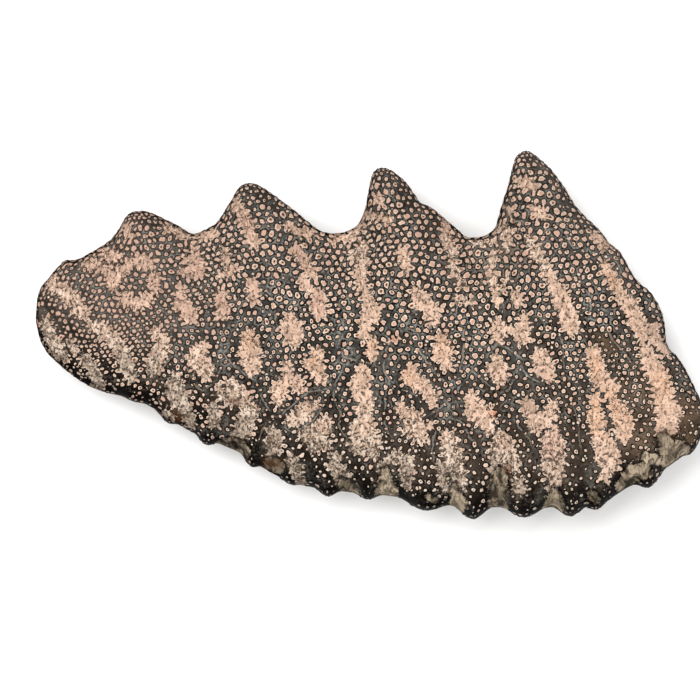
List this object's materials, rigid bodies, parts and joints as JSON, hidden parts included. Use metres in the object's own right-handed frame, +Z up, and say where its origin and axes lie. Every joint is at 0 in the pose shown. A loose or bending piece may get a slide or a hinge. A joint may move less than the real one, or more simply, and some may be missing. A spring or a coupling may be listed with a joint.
{
  "type": "fossil lungfish tooth plate",
  "caption": "Low fan-shaped fossil tooth plate with four pointed cusps, a folded lower edge and a dotted, blotched grinding face, lying flat.",
  "frame": {"origin": "under the middle of the plate's outline, on the plane that its flat underside rests on", "axes": "+X along the plate from its back end to its front corner, +Y towards the cusped edge, +Z up out of the grinding face"},
  "size_m": [0.048, 0.0264, 0.0082],
  "materials": {
    "mineralised_tooth": "dark grey-brown dentine with pink-cream tubules and blotches, satin, worn smooth"
  },
  "bodies": {
    "root": {"tooth_plate": "mineralised_tooth"}
  },
  "joints": []
}
